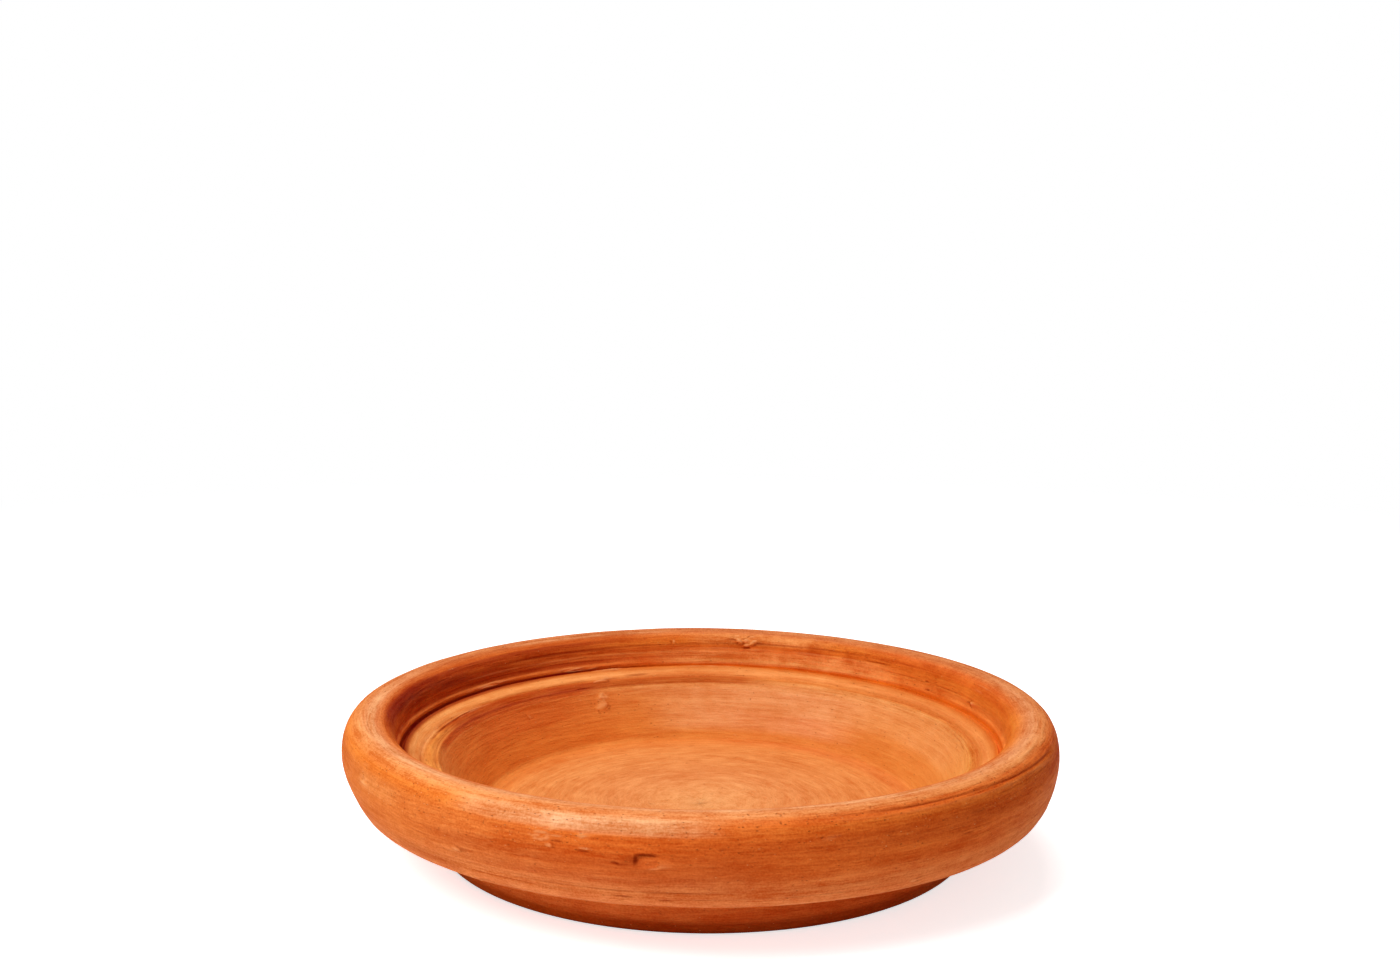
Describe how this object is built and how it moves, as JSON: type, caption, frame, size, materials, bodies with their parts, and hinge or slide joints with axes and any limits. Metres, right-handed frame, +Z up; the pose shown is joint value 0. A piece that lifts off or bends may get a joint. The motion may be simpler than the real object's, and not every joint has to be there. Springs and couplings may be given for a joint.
{
  "type": "tagine base",
  "caption": "Round unglazed terracotta tagine base: a shallow thrown cooking dish with a thick rolled rim, an undercut fold and a grooved inner ledge that seats a lid.",
  "frame": {"origin": "centre of the flat foot, on the surface the dish stands on", "axes": "+Z up, along the axis the dish was thrown about; +X and +Y level, with -Y towards the side shown nearest in the low view"},
  "size_m": [0.3, 0.3, 0.0564],
  "materials": {
    "terracotta": "unglazed fired red earthenware, matt, with throwing lines"
  },
  "bodies": {
    "root": {"dish": "terracotta"}
  },
  "joints": []
}
